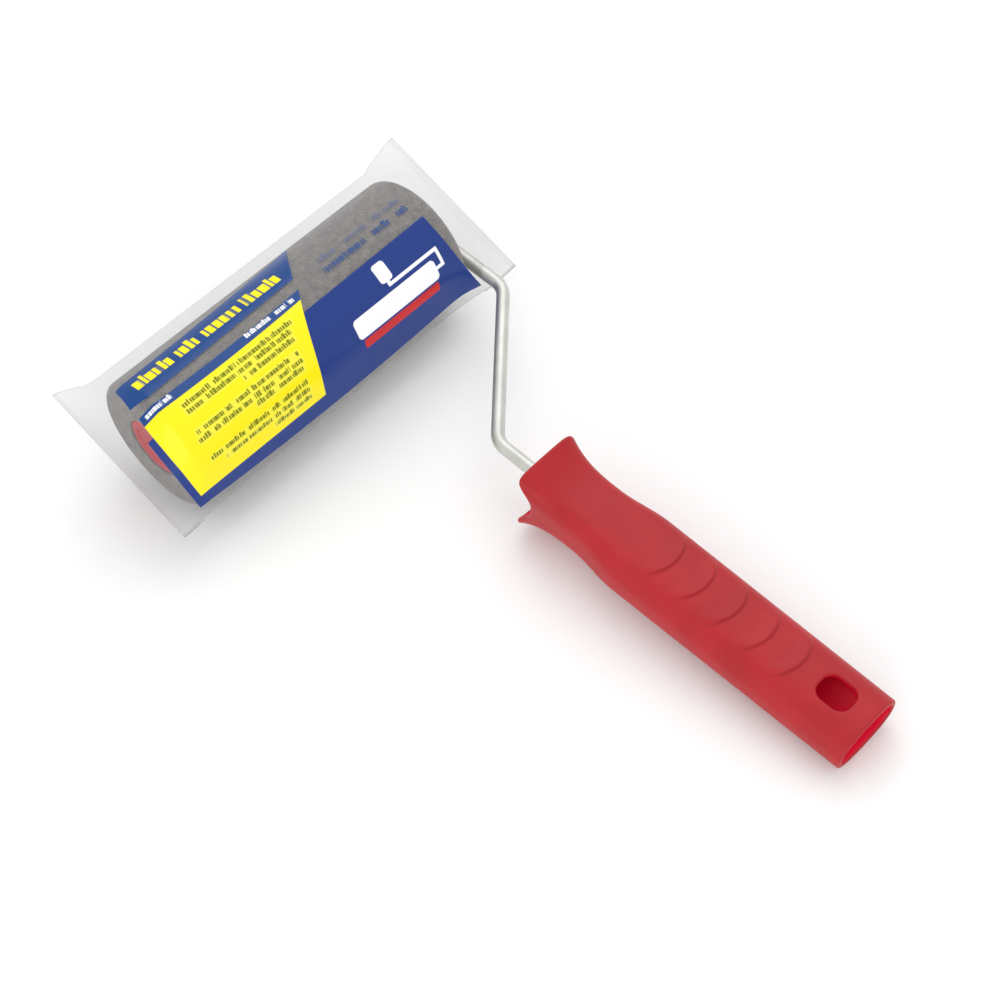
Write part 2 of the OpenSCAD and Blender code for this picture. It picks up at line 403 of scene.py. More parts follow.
def foamMaterial():
    constants = {"Roughness": 1.0, "Sheen_Weight": 0.25, "Sheen_Roughness": 0.6, "Specular_IOR_Level": 0.15}
    material, _, shader, place = newMaterial("foam", **constants)
    tone = foamCover["tone"]
    scale = 1 / (millimetre * foamCover["poreSize"])
    cells = addBeside([place], "ShaderNodeTexVoronoi", Vector=place, Scale=scale)
    pores = ramp(cells.outputs["Distance"], 0.05, 0.55)
    fine = noise(place, scale * 1.7, Detail=4.0, Roughness=0.7)
    mottle = ramp(noise(place, 520.0, Detail=5.0, Roughness=0.8), 0.35, 0.65)
    patches = ramp(noise(place, 60.0, Detail=2.0), 0.3, 0.7, 0.0, 0.12)
    cool = shaded(tone, foamCover["cooler"])
    base = mixColour(mottle, cool, shaded(tone, foamCover["warmer"]))
    base = mixColour(patches, base, cool)
    # painted shade: the pores that the bump sinks are darkened in colour too
    base = mixColour(ramp(pores, 0.75, 1.0, 0.0, 0.4), base, shaded(tone, foamCover["poreShade"]))
    height = difference(fine, product(pores, 0.8))
    feedAll(shader, Base_Color=base, Normal=bumps(height, 0.7, 0.00025))
    return material


def foamOutline():
    # bore, one end face, its rounded edge, the long outside, and the same back again
    end, radius = foamCover["length"] / 2, foamCover["radius"]
    edge, bore = foamCover["edge"], foamCover["bore"]
    half = [(end - 0.15, bore), (end, bore + 0.4)]
    half += [(end, bore + 1 + step * 1.2) for step in range(6)]
    for step in range(foamCover["edgeSteps"] + 1):
        turn = math.radians(90 * step / foamCover["edgeSteps"])
        half.append((end - edge + edge * math.cos(turn), radius - edge + edge * math.sin(turn)))
    straight = end - edge - 1.5
    side = [(x, radius) for x in np.linspace(straight, -straight, foamCover["sideSteps"])]
    return half + side + [(-x, reach) for x, reach in reversed(half)]


def foamRipple(x, radius, angle):
    if radius < foamCover["bore"] + 1:
        return 0
    swell = math.sin(3 * angle + x * 0.13)
    swell += 0.7 * math.sin(5 * angle - x * 0.31)
    swell += 0.5 * math.sin(11 * angle + x * 0.7)
    return -foamCover["unevenness"] * (1 + swell / 2.2) / 2


foam = latheAlongAxle("foamCover", foamOutline(), foamCover["turnSteps"], foamRipple)
setMaterial(foam, foamMaterial())
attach(foam, "roller")
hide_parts("foam_cover")
print("foam cover built")

# ---- end cap

endCap = {
    "radius": 7.95,
    "outside": -44.65,
    "inside": -43.5,
    "chamfer": 0.35,
    "dish": 0.45,  # depth of the round hollow in its face
    "dishRadius": 5.6,
    "dimple": 0.25,  # depth of the small one in its middle
    "dimpleRadius": 1.1,
    "skirt": 6.95,
    "skirtWall": 1.2,
    "skirtLength": 7.0,
    "turnSteps": 96,
}


def endCapOutline():
    face, back, radius, chamfer = endCap["outside"], endCap["inside"], endCap["radius"], endCap["chamfer"]
    dish, dishRadius = face + endCap["dish"], endCap["dishRadius"]
    dimple, dimpleRadius = dish + endCap["dimple"], endCap["dimpleRadius"]
    skirt, bore, tip = endCap["skirt"], endCap["skirt"] - endCap["skirtWall"], back + endCap["skirtLength"]
    axis = 0.02
    outline = [(dimple, axis), (dimple, dimpleRadius), (dish, dimpleRadius + 0.3)]
    outline += [(dish, dishRadius), (dish - 0.1, dishRadius + 0.25), (face + 0.06, dishRadius + 0.55)]
    outline += [(face, dishRadius + 0.8), (face, radius - chamfer)]
    outline += [(face + chamfer * 0.3, radius - chamfer * 0.3), (face + chamfer, radius), (back, radius)]
    outline += [(back, skirt), (tip - 0.4, skirt), (tip, skirt - 0.3)]
    outline += [(tip, bore), (back, bore), (back, axis)]
    return outline


cap = latheAlongAxle("outerEndCap", endCapOutline(), endCap["turnSteps"])
setMaterial(cap, capPlastic)
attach(cap, "roller")
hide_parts("outer_end_cap")
print("end cap built")

# ---- hidden running parts keep their exact shape and get a finish

runningParts = {
    "core_tube": corePlastic,
    "outer_bush": bushPlastic,
    "inner_bush": bushPlastic,
    "push_nut": springSteel,
    "stop_washer": springSteel,
}
for nodeName, material in runningParts.items():
    for place in range(max(1, len(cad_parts[nodeName].material_slots))):
        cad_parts[nodeName].material_slots[place].material = material
print("running parts finished")

# ---- wire frame

wireFrame = {
    "radius": 1.7,
    "bend": 6.0,
    "points": [(-34.6, 0), (48.2, 0), (48.2, -26.6), (13.1, -57.9), (13.1, -116.6)],
    "earPlace": 40.4,
    "earLength": 1.4,
    "earSpan": 5.8,
    "earRounding": 0.3,
}


def newGeometryGroup(name, inputs):
    geometry = {"Geometry": "Geometry"}
    return newGroup(name, {**geometry, **inputs}, geometry, "GeometryNodeTree")


def finishGeometryGroup(tree, geometry, material, result):
    real = addNode(tree, "GeometryNodeRealizeInstances", Geometry=geometry)
    painted = addNode(tree, "GeometryNodeSetMaterial", Geometry=real.outputs[0], Material=material)
    feed(result["Geometry"], painted.outputs[0])


def runGeometryGroup(source, tree, values, name):
    # evaluates the tree on an object and returns its result as one plain mesh object
    modifier = source.modifiers.new("build", "NODES")
    modifier.node_group = tree
    sockets = {item.name: item.identifier for item in tree.interface.items_tree if item.in_out == "INPUT"}
    for label, value in values.items():
        modifier[sockets[label]] = value
    bpy.context.view_layer.update()
    evaluated = source.evaluated_get(bpy.context.evaluated_depsgraph_get())
    mesh = bpy.data.meshes.new_from_object(evaluated)
    mesh.name = name
    source.modifiers.clear()
    bpy.data.objects.remove(source)
    return addToScene(name, mesh)


def buildBentWire():
    # sweeps a round bar along a line whose corners are bent to one radius
    sizes = {"Wire Radius": 0.001, "Bend Radius": 0.006, "Bend Steps": 14, "Sides": 40}
    tree, given, result = newGeometryGroup("bentWire", {**sizes, "Finish": "Material"})
    bent = addNode(tree, "GeometryNodeFilletCurve", {"mode": "POLY"}, Curve=given["Geometry"])
    feedAll(bent, Count=given["Bend Steps"], Radius=given["Bend Radius"])
    ring = addNode(tree, "GeometryNodeCurvePrimitiveCircle", Resolution=given["Sides"])
    feedAll(ring, Radius=given["Wire Radius"])
    tube = addNode(tree, "GeometryNodeCurveToMesh", Curve=bent.outputs[0], Fill_Caps=True)
    feedAll(tube, Profile_Curve=ring.outputs[0])
    smooth = addNode(tree, "GeometryNodeSetShadeSmooth", Geometry=tube.outputs[0])
    finishGeometryGroup(tree, smooth.outputs[0], given["Finish"], result)
    return tree


def wireLine():
    line = bpy.data.curves.new("wireLine", "CURVE")
    line.dimensions = "3D"
    spline = line.splines.new("POLY")
    spline.points.add(len(wireFrame["points"]) - 1)
    for place, (x, y) in zip(spline.points, wireFrame["points"]):
        place.co = (*(layDown @ Vector((x, y, 0))), 1)
    return addToScene("wireLine", line)


def pressedEars():
    # the two small ears pressed out of the wire that stop the washer
    build = bmesh.new()
    length, span, height = wireFrame["earLength"], wireFrame["earSpan"], wireFrame["radius"]
    bmesh.ops.create_cube(build, size=1)
    bmesh.ops.scale(build, vec=(length, span, height), verts=build.verts)
    rounding = wireFrame["earRounding"]
    bmesh.ops.bevel(build, geom=list(build.edges), offset=rounding, segments=2, affect="EDGES", profile=0.5)
    bmesh.ops.translate(build, vec=(wireFrame["earPlace"] + length / 2, 0, 0), verts=build.verts)
    return meshFromBuild("pressedEars", build)


def joinInto(main, other):
    bpy.ops.object.select_all(action="DESELECT")
    main.select_set(True)
    other.select_set(True)
    bpy.context.view_layer.objects.active = main
    bpy.ops.object.join()
    return main


wireValues = {
    "Wire Radius": wireFrame["radius"] * millimetre,
    "Bend Radius": wireFrame["bend"] * millimetre,
    "Bend Steps": 16,
    "Sides": 48,
    "Finish": zincWire,
}
wire = runGeometryGroup(wireLine(), buildBentWire(), wireValues, "wireFrame")
ears = pressedEars()
setMaterial(ears, zincWire)
wire = joinInto(wire, ears)
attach(wire, "frame")
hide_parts("wire_frame")
print("wire frame built")

# ---- handle

handle = {
    "offset": 13.1,  # from the roller's middle
    "reach": 72.6,  # from the axle to the front
    "length": 97.0,
    "wall": 1.3,
    "neckAt": 17.0,
    "shoulderAt": 31.0,
    "width": (23.4, 17.0, 20.6, 20.2),  # at the front, neck, shoulder and rear
    "height": (21.2, 13.0, 13.0, 12.5),
    "squareness": (4.4, 3.6, 3.0, 2.4),
    "waist": (2.2, 0.0, 0.0, 0.0),  # how far the sides are drawn in
    "flareCurve": 2.8,  # how late the front opens out
    "setback": 4.0,  # how far the sides of the front stand behind its lips
    "setbackSharpness": 8,
    "frontBulge": 0.65,  # roundness of the two open ends
    "rearBulge": 0.55,
    "columns": 216,
    "samples": 1441,  # points tried before they are spaced evenly
    # the rings along it: from, to, spacing
    "stretches": ((0.7, 8.0, 0.5), (8.0, 32.0, 1.0), (32.0, 80.0, 0.25), (80.0, 96.4, 0.5)),
    "insideSpacing": 1.5,  # ahead of the hanging hole
    "ridgesAbove": 2.0,  # the grip ridges rise only on skin above this height
}

hangingHole = {
    "centre": (0.5, 86.9),
    "size": (7.4, 8.8),
    "corner": 2.9,
    "outerEdge": 0.45,
    "innerEdge": 0.2,
    "patchReach": 5.9,  # half the length of skin that is redrawn round the hole
    "patchColumns": 23,  # half its width
    "shares": (0.3, 0.55, 0.75, 0.9, 1.0),  # rings from the patch's border to the hole
    "edgeTurns": (25, 50, 72, 90),  # degrees round the hole's edge
}


def alongHandle(distance, sizes):
    front, neck, body, rear = sizes
    neckAt, shoulderAt, length = handle["neckAt"], handle["shoulderAt"], handle["length"]
    flare = neck + (front - neck) * np.clip(1 - distance / neckAt, 0, 1) ** handle["flareCurve"]
    ease = (1 - np.cos(np.pi * (distance - neckAt) / (shoulderAt - neckAt))) / 2
    swell = neck + (body - neck) * ease
    taper = body + (rear - body) * (distance - shoulderAt) / (length - shoulderAt)
    return np.where(distance < neckAt, flare, np.where(distance < shoulderAt, swell, taper))


def halfSizes(distance, inset):
    return [alongHandle(distance, handle[name]) / 2 - inset for name in ("width", "height")]


def signedPower(value, power):
    return np.sign(value) * np.abs(value) ** power


def handleSection(part, inset):
    # one ring of points round the handle, evenly spaced along the skin
    angle = np.linspace(0, 2 * np.pi, handle["samples"])
    setback = handle["setback"] * np.abs(np.cos(angle)) ** handle["setbackSharpness"]
    distance = setback + part * (handle["length"] - setback)
    power = 2 / alongHandle(distance, handle["squareness"])
    rise, across = signedPower(np.sin(angle), power), signedPower(np.cos(angle), power)
    halfWidth, halfHeight = halfSizes(distance, inset)
    pinch = alongHandle(distance, handle["waist"]) * (1 - rise**2) * np.sign(np.cos(angle))
    ring = np.stack([halfWidth * across - pinch, distance, halfHeight * rise], 1)
    step = np.linalg.norm(np.diff(ring[:, [0, 2]], axis=0), axis=1)
    travelled = np.concatenate([[0], np.cumsum(step)])
    wanted = np.linspace(0, travelled[-1], handle["columns"] + 1)[:-1]
    return np.stack([np.interp(wanted, travelled, ring[:, axis]) for axis in range(3)], 1)


def topHeight(across, distance, inset):
    halfWidth, halfHeight = halfSizes(distance, inset)
    square = alongHandle(distance, handle["squareness"])
    return halfHeight * np.clip(1 - np.abs(across / halfWidth) ** square, 0, 1) ** (1 / square)


def handleStations(inside):
    # places of the rings as a share of the length, closest where the grip ridges are
    places = []
    for start, end, step in handle["stretches"]:
        aheadOfHole = (start, end, step) != handle["stretches"][-1]
        spacing = max(step, handle["insideSpacing"]) if inside and aheadOfHole else step
        places += list(np.arange(start, end - spacing * 0.4, spacing))
    places.append(handle["stretches"][-1][1])
    return [place / handle["length"] for place in places]


def holeEdgePoint(direction, grow):
    # where a ray from the hole's centre meets its rounded outline, grown outwards
    corner = hangingHole["corner"]
    straight = np.array(hangingHole["size"]) / 2 - corner
    low, high = 0.0, 20.0
    for _ in range(30):
        middle = (low + high) / 2
        beyond = np.abs(direction * middle) - straight
        outside = np.linalg.norm(np.maximum(beyond, 0)) + min(max(beyond), 0) - corner
        low, high = (middle, high) if outside < grow else (low, middle)
    return direction * low


def skinWithGap(inset, inside, points, faces):
    # adds one skin with a gap left for the hole, and returns its front, rear and gap rings
    stations = handleStations(inside)
    columns, start = handle["columns"], len(points)
    for part in stations:
        points.extend(handleSection(part, inset))
    distances = [part * handle["length"] for part in stations]
    middle, reach = hangingHole["centre"][1], hangingHole["patchReach"]
    firstRing = max(ring for ring, place in enumerate(distances) if place < middle - reach)
    lastRing = min(ring for ring, place in enumerate(distances) if place > middle + reach)
    firstColumn = columns // 4 - hangingHole["patchColumns"]
    lastColumn = columns // 4 + hangingHole["patchColumns"]

    def at(ring, column):
        return start + ring * columns + column % columns

    for ring in range(len(stations) - 1):
        for column in range(columns):
            inGap = firstRing <= ring < lastRing and firstColumn <= column < lastColumn
            if not inGap:
                near, far = at(ring, column), at(ring + 1, column)
                faces.append((near, at(ring, column + 1), at(ring + 1, column + 1), far))
    gap = [at(firstRing, column) for column in range(firstColumn, lastColumn)]
    gap += [at(ring, lastColumn) for ring in range(firstRing, lastRing)]
    gap += [at(lastRing, column) for column in range(lastColumn, firstColumn, -1)]
    gap += [at(ring, firstColumn) for ring in range(lastRing, firstRing, -1)]
    front = [at(0, column) for column in range(columns)]
    rear = [at(len(stations) - 1, column) for column in range(columns)]
    return front, rear, gap


def drawHole(inset, inside, points, faces, gap):
    # fills the gap up to the rounded edge of the hole and returns the hole's ring
    centre = np.array(hangingHole["centre"])
    edge = hangingHole["innerEdge"] if inside else hangingHole["outerEdge"]
    border = [points[index][:2] for index in gap]
    rays = [(place - centre) / np.linalg.norm(place - centre) for place in border]
    rim = [centre + holeEdgePoint(ray, edge) for ray in rays]
    loops = []  # the places of each ring, and how far it stands below the skin
    for share in hangingHole["shares"]:
        loops.append(([place * (1 - share) + target * share for place, target in zip(border, rim)], 0.0))
    for degrees in hangingHole["edgeTurns"]:
        turn = math.radians(degrees)
        out, drop = edge * (1 - math.sin(turn)), edge * (1 - math.cos(turn))
        loops.append(([centre + holeEdgePoint(ray, out) for ray in rays], -drop if inside else drop))
    before = gap
    for places, drop in loops:
        first = len(points)
        for across, distance in places:
            points.append(np.array([across, distance, topHeight(across, distance, inset) - drop]))
        bridge(faces, before, range(first, len(points)))
        before = range(first, len(points))
    return before


def roundedRim(points, faces, outerRing, innerRing, bulge):
    # joins the two skins at an open end with a round edge
    before, steps = outerRing, 8
    for step in range(1, steps):
        turn = math.pi * step / steps
        across = (1 - math.cos(turn)) / 2
        along = np.array([0, bulge * math.sin(turn), 0])
        first = len(points)
        for outer, inner in zip(outerRing, innerRing):
            points.append(points[outer] * (1 - across) + points[inner] * across + along)
        bridge(faces, before, range(first, len(points)))
        before = range(first, len(points))
    bridge(faces, before, innerRing)


def toHandlePlace(point):
    return (handle["offset"] + point[0], -handle["reach"] - point[1], point[2])


def handleShell():
    points, faces = [], []
    outerFront, outerRear, outerGap = skinWithGap(0.0, False, points, faces)
    outerHole = drawHole(0.0, False, points, faces, outerGap)
    outerCount = len(points)
    innerFront, innerRear, innerGap = skinWithGap(handle["wall"], True, points, faces)
    innerHole = drawHole(handle["wall"], True, points, faces, innerGap)
    innerCount = len(points)
    roundedRim(points, faces, outerFront, innerFront, -handle["frontBulge"])
    roundedRim(points, faces, outerRear, innerRear, handle["rearBulge"])
    bridge(faces, outerHole, innerHole)
    made = meshObject("handleShell", [toHandlePlace(point) for point in points], faces)
    places = np.array(points)  # across, back from the front, and 1 where ridges may rise
    places[:, 2] = (np.arange(len(points)) < outerCount) & (places[:, 2] > handle["ridgesAbove"])
    layer = made.data.attributes.new("gripPlace", "FLOAT_VECTOR", "POINT")
    layer.data.foreach_set("vector", places.ravel())
    # marks the inner skin, which the handle's material paints with a brighter red as painted glow
    isInside = [outerCount <= index < innerCount for index in range(len(points))]
    storeValues(made, "insideSkin", [float(inside) for inside in isInside])
    faceOutwards(made)
    return made


gripRidges = {
    "First": 39.8,  # distance behind the front
    "Pitch": 9.25,
    "Count": 5.0,
    "Depth": 0.45,
    "Sag": 4.2,  # how far the ends of a ridge run forwards
    "Half Width": 8.6,
    "Centre": 0.9,
    "Ramp": 4.0,
    "Drop": 0.35,
    "Line": 0.4,  # strength of the painted shade along each ridge's drop
}


def buildGripRidges():
    # raises a row of shallow crescent steps on the skin, each with a soft ramp and a sharp drop, and stores
    # a painted shade line along each drop
    tree, given, result = newGeometryGroup("gripRidges", {**gripRidges, "Finish": "Material"})
    settings = {"data_type": "FLOAT_VECTOR"}
    place = addNode(tree, "GeometryNodeInputNamedAttribute", settings, Name="gripPlace")
    across, back, onTop = separate(place.outputs[0])
    share = maths("DIVIDE", difference(across, given["Centre"]), given["Half Width"])
    bow = product(share, share, given["Sag"])
    travel = difference(total(back, bow), given["First"])
    counted = maths("DIVIDE", travel, given["Pitch"])
    nearest = maths("MINIMUM", maths("ROUND", counted), difference(given["Count"], 1.0))
    nearest = maths("MAXIMUM", nearest, 0.0)
    past = product(difference(counted, nearest), given["Pitch"])
    climb = ramp(past, product(given["Ramp"], -1.0), 0.0)
    fall = ramp(past, 0.0, given["Drop"], 1.0, 0.0)
    window = ramp(magnitude(share), 0.45, 1.0, 1.0, 0.0)
    height = product(climb, fall, window, onTop, given["Depth"], millimetre)
    normal = tree.nodes.new("GeometryNodeInputNormal").outputs[0]
    lift = addNode(tree, "ShaderNodeVectorMath", {"operation": "SCALE"}, Vector=normal, Scale=height)
    # painted shade: a thin dark line just past each ridge's drop, kept for the handle's material
    near = ramp(magnitude(difference(past, 0.15)), 0.1, 0.45, 1.0, 0.0)
    line = product(near, window, onTop, given["Line"])
    settings = {"data_type": "FLOAT", "domain": "POINT"}
    kept = addNode(tree, "GeometryNodeStoreNamedAttribute", settings, Name="ridgePaintedShade", Value=line)
    feedAll(kept, Geometry=given["Geometry"])
    moved = addNode(tree, "GeometryNodeSetPosition", Geometry=kept.outputs[0], Offset=lift.outputs[0])
    finishGeometryGroup(tree, moved.outputs[0], given["Finish"], result)
    return tree


wireSocket = {
    "front": 16.0,  # behind the front of the handle
    "length": 32.0,
    "radius": 3.7,
    "bore": 1.72,
    "web": 1.6,
    "step": 0.3,
    "sides": 40,
}


def handleSocket():
    # the tube that grips the wire and the crossed webs that tie it to the shell
    build = bmesh.new()
    half, outer, bore = wireSocket["length"] / 2, wireSocket["radius"], wireSocket["bore"]
    wide, tall = handle["width"][1] - handle["wall"], handle["height"][1] - handle["wall"]
    for size in ((wireSocket["web"], 2 * half, tall), (wide, 2 * half, wireSocket["web"])):
        made = bmesh.ops.create_cube(build, size=1)
        bmesh.ops.scale(build, vec=size, verts=made["verts"])
    end, narrow = half - wireSocket["step"], outer - wireSocket["step"]
    outline = [(-end, narrow), (-end, outer), (end, outer), (half, narrow)]
    outline += [(half, bore), (-half, bore), (-half, narrow)]
    angles = [2 * math.pi * side / wireSocket["sides"] for side in range(wireSocket["sides"])]
    rows = []
    for along, radius in outline:
        rows.append([build.verts.new((radius * math.cos(a), along, radius * math.sin(a))) for a in angles])
    quads = []
    for near, far in zip(rows, rows[1:] + rows[:1]):
        bridge(quads, near, far)
    for quad in quads:
        build.faces.new(quad)
    back = handle["reach"] + wireSocket["front"] + half
    bmesh.ops.translate(build, vec=(handle["offset"], -back, 0), verts=build.verts)
    bmesh.ops.recalc_face_normals(build, faces=build.faces)
    made = meshFromBuild("wireSocket", build, smooth=False)
    # the socket sits inside the handle, so it gets the same painted glow
    storeValues(made, "insideSkin", [1.0] * len(made.data.vertices))
    return made


ridgeValues = {**gripRidges, "Finish": redPlastic}
grip = runGeometryGroup(handleShell(), buildGripRidges(), ridgeValues, "redHandle")
socket = handleSocket()
setMaterial(socket, redPlastic)
grip = joinInto(grip, socket)
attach(grip, "frame")
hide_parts("handle")
print("handle built:", len(grip.data.polygons), "faces")

# ---- film sleeve

filmSleeve = {
    "hugRadius": 18.4,  # over the foam
    "upperFold": 22.2,  # distance of the folds from the axle
    "lowerFold": 20.9,
    "foldTurn": 18.0,  # degrees
    "grip": 43.8,  # where the film starts to taper
    "freeEnd": 55.0,
    "wireEnd": 58.0,
    "sealUpper": 24.4,
    "sealLower": 22.0,
    "sealRise": 2.5,
    "sealGap": 0.15,
    "halfCount": 110,
    "stations": (30, 58, 36),  # rings at the free end, round the foam and at the wire's end
    "foldRounding": 4.0,  # how far past the grip the folds stay rounded
    "roundingPasses": 3,
    "creases": 9,
    "creaseDepth": 0.35,
    "creaseSeed": 7,
    "tentPlace": 48.2,  # where the wire pushes the film out
    "tentLift": 2.4,
    "tentSpread": 4.0,
    "tentSide": -8.0,  # only film on this side of the axle is pushed out
    "holeRadius": 1.85,  # within which a face is left out for the wire
}


def hullLengths():
    # where the film meets and leaves the foam, and its lengths before, round and after it
    radius, upper, lower = filmSleeve["hugRadius"], filmSleeve["upperFold"], filmSleeve["lowerFold"]
    start, end = math.acos(radius / upper), math.pi - math.acos(radius / lower)
    first, last = math.sqrt(upper**2 - radius**2), math.sqrt(lower**2 - radius**2)
    return start, end, (first, radius * (end - start), last)


def hullPoint(share):
    # half section of film stretched round the foam between its two folds
    radius, upper, lower = filmSleeve["hugRadius"], filmSleeve["upperFold"], filmSleeve["lowerFold"]
    start, end, (first, middle, last) = hullLengths()
    travel = share * (first + middle + last)
    rise = np.clip(travel / first, 0, 1)
    turn = start + np.clip((travel - first) / radius, 0, end - start)
    fall = np.clip((travel - first - middle) / last, 0, 1)
    before, after = travel < first, travel > first + middle
    startOut, endOut = radius * math.cos(start), radius * math.cos(end)
    out = np.where(before, upper + (startOut - upper) * rise, radius * np.cos(turn))
    up = np.where(before, radius * math.sin(start) * rise, radius * np.sin(turn))
    out = np.where(after, endOut + (-lower - endOut) * fall, out)
    up = np.where(after, radius * math.sin(end) * (1 - fall), up)
    return out, up


def creaseHeight(x, part, share, side):
    # soft folds that run from the foam's edge to the sealed end
    random = np.random.default_rng(filmSleeve["creaseSeed"] + (1 if x > 0 else 0) + (2 if side > 0 else 0))
    height = np.zeros_like(share)
    for _ in range(filmSleeve["creases"]):
        begin, finish = random.uniform(0.04, 0.96, 2)
        finish = begin + (finish - begin) * 0.35
        strength, breadth = random.uniform(-1, 1), random.uniform(0.012, 0.035)
        line = begin + (finish - begin) * part
        height += strength * np.exp(-(((share - line) / breadth) ** 2))
    return height * filmSleeve["creaseDepth"] * math.sin(math.pi * min(part, 1)) ** 0.8


def filmHalf(x, share, side):
    # one layer of film across the sleeve at a place along it
    grip, upper, lower = filmSleeve["grip"], filmSleeve["sealUpper"], filmSleeve["sealLower"]
    end = filmSleeve["wireEnd"] if x > 0 else filmSleeve["freeEnd"]
    part = min(max((abs(x) - grip) / (end - grip), 0), 1)
    out, up = hullPoint(share)
    blend = (1 - math.cos(math.pi * part)) / 2
    taper = 0.5 * math.cos(math.pi / 2 * part) + 0.5 * (1 - part)
    out = out * (1 - blend) + (upper - (upper + lower) * share) * blend
    up = side * (up * taper + filmSleeve["sealGap"] * part)
    up = up + filmSleeve["sealRise"] * part**2
    if part > 0:
        up = up + side * creaseHeight(x, part, share, side) * np.sin(np.pi * share) ** 0.5
    turn = math.radians(filmSleeve["foldTurn"])
    across = out * math.cos(turn) - up * math.sin(turn)
    height = out * math.sin(turn) + up * math.cos(turn)
    near = np.exp(-((x - filmSleeve["tentPlace"]) ** 2 + height**2) / (2 * filmSleeve["tentSpread"] ** 2))
    across = across - filmSleeve["tentLift"] * near * (across < filmSleeve["tentSide"])
    return np.stack([np.full_like(share, x), across, height], 1)


def filmStations():
    grip, (free, middle, wire) = filmSleeve["grip"], filmSleeve["stations"]
    freePlaces = np.linspace(-filmSleeve["freeEnd"], -grip, free)
    middlePlaces = np.linspace(-grip, grip, middle)[1:-1]
    return np.concatenate([freePlaces, middlePlaces, np.linspace(grip, filmSleeve["wireEnd"], wire)])


def filmRings(halfLength):
    # the film's points, and where each lies on the flat film
    share = np.linspace(0, 1, filmSleeve["halfCount"] + 1)
    travel = np.concatenate([share * halfLength, halfLength + (1 - share[::-1][1:-1]) * halfLength])
    points, places = [], []
    for x in filmStations():
        ring = np.concatenate([filmHalf(x, share, 1), filmHalf(x, share[::-1], -1)[1:-1]])
        if abs(x) < filmSleeve["grip"] + filmSleeve["foldRounding"]:
            for _ in range(filmSleeve["roundingPasses"]):
                ring = (np.roll(ring, 1, 0) + 2 * ring + np.roll(ring, -1, 0)) / 4
        points.extend(ring)
        places.extend((x, around) for around in travel)
    return np.array(points), places


def filmFaces(points):
    # the tube of film, closed at its sealed ends and open where the wire leaves it
    count = filmSleeve["halfCount"]
    size = 2 * count
    faces = ringFaces(len(points) // size, size)
    for first in (0, len(points) - size):
        for step in range(count):
            top, bottom = first + step, first + (size - step) % size
            faces.append(tuple(dict.fromkeys([top, top + 1, first + (size - step - 1) % size, bottom])))
    kept = []
    for face in faces:
        centre = points[list(face)].mean(0)
        byWire = math.hypot(centre[0] - filmSleeve["tentPlace"], centre[2]) < filmSleeve["holeRadius"]
        if not (byWire and centre[1] < filmSleeve["tentSide"]):
            kept.append(face)
    return kept


def storeFilmPlaces(piece, places, halfLength):
    # a face that crosses the start of the film is numbered past its end instead
    layer = piece.data.attributes.new("filmPlace", "FLOAT_VECTOR", "CORNER")
    for face in piece.data.polygons:
        corners = [places[piece.data.loops[index].vertex_index] for index in face.loop_indices]
        arounds = [around for _, around in corners]
        crosses = max(arounds) - min(arounds) > halfLength
        for index, (along, around) in zip(face.loop_indices, corners):
            extra = 2 * halfLength if crosses and around < halfLength else 0
            layer.data[index].vector = (along, around + extra, 0)


def buildFilm(halfLength):
    points, places = filmRings(halfLength)
    made = meshObject("filmSleeve", points, filmFaces(points))
    storeFilmPlaces(made, places, halfLength)
    faceOutwards(made)
    return made


def roundedBarGroup():
    # a filled bar with round corners, in the film's own flat millimetres
    sizes = dict.fromkeys(("Centre X", "Centre Y", "Half Length", "Half Height", "Corner"), 1.0)
    tree, given, result = newGroup("roundedBar", {"Place": "Vector", **sizes}, {"Mask": "Float"})
    split = separate(given["Place"])
    beyond = []
    for axis, centre, half in ((0, "Centre X", "Half Length"), (1, "Centre Y", "Half Height")):
        away = magnitude(difference(split[axis], given[centre]))
        beyond.append(total(difference(away, given[half]), given["Corner"]))
    squares = [maths("POWER", strongest(value, 0.0), 2.0) for value in beyond]
    outside = maths("SQRT", total(*squares))
    inner = maths("MINIMUM", strongest(*beyond), 0.0)
    gap = difference(total(outside, inner), given["Corner"])
    feed(result["Mask"], ramp(gap, -0.1, 0.1, 1.0, 0.0))
    return tree


def noiseAlongLine(place, scale, detail):
    settings = {"noise_dimensions": "1D"}
    made = addBeside([place], "ShaderNodeTexNoise", settings, W=place, Scale=scale, Detail=detail)
    return made.outputs["Fac"]


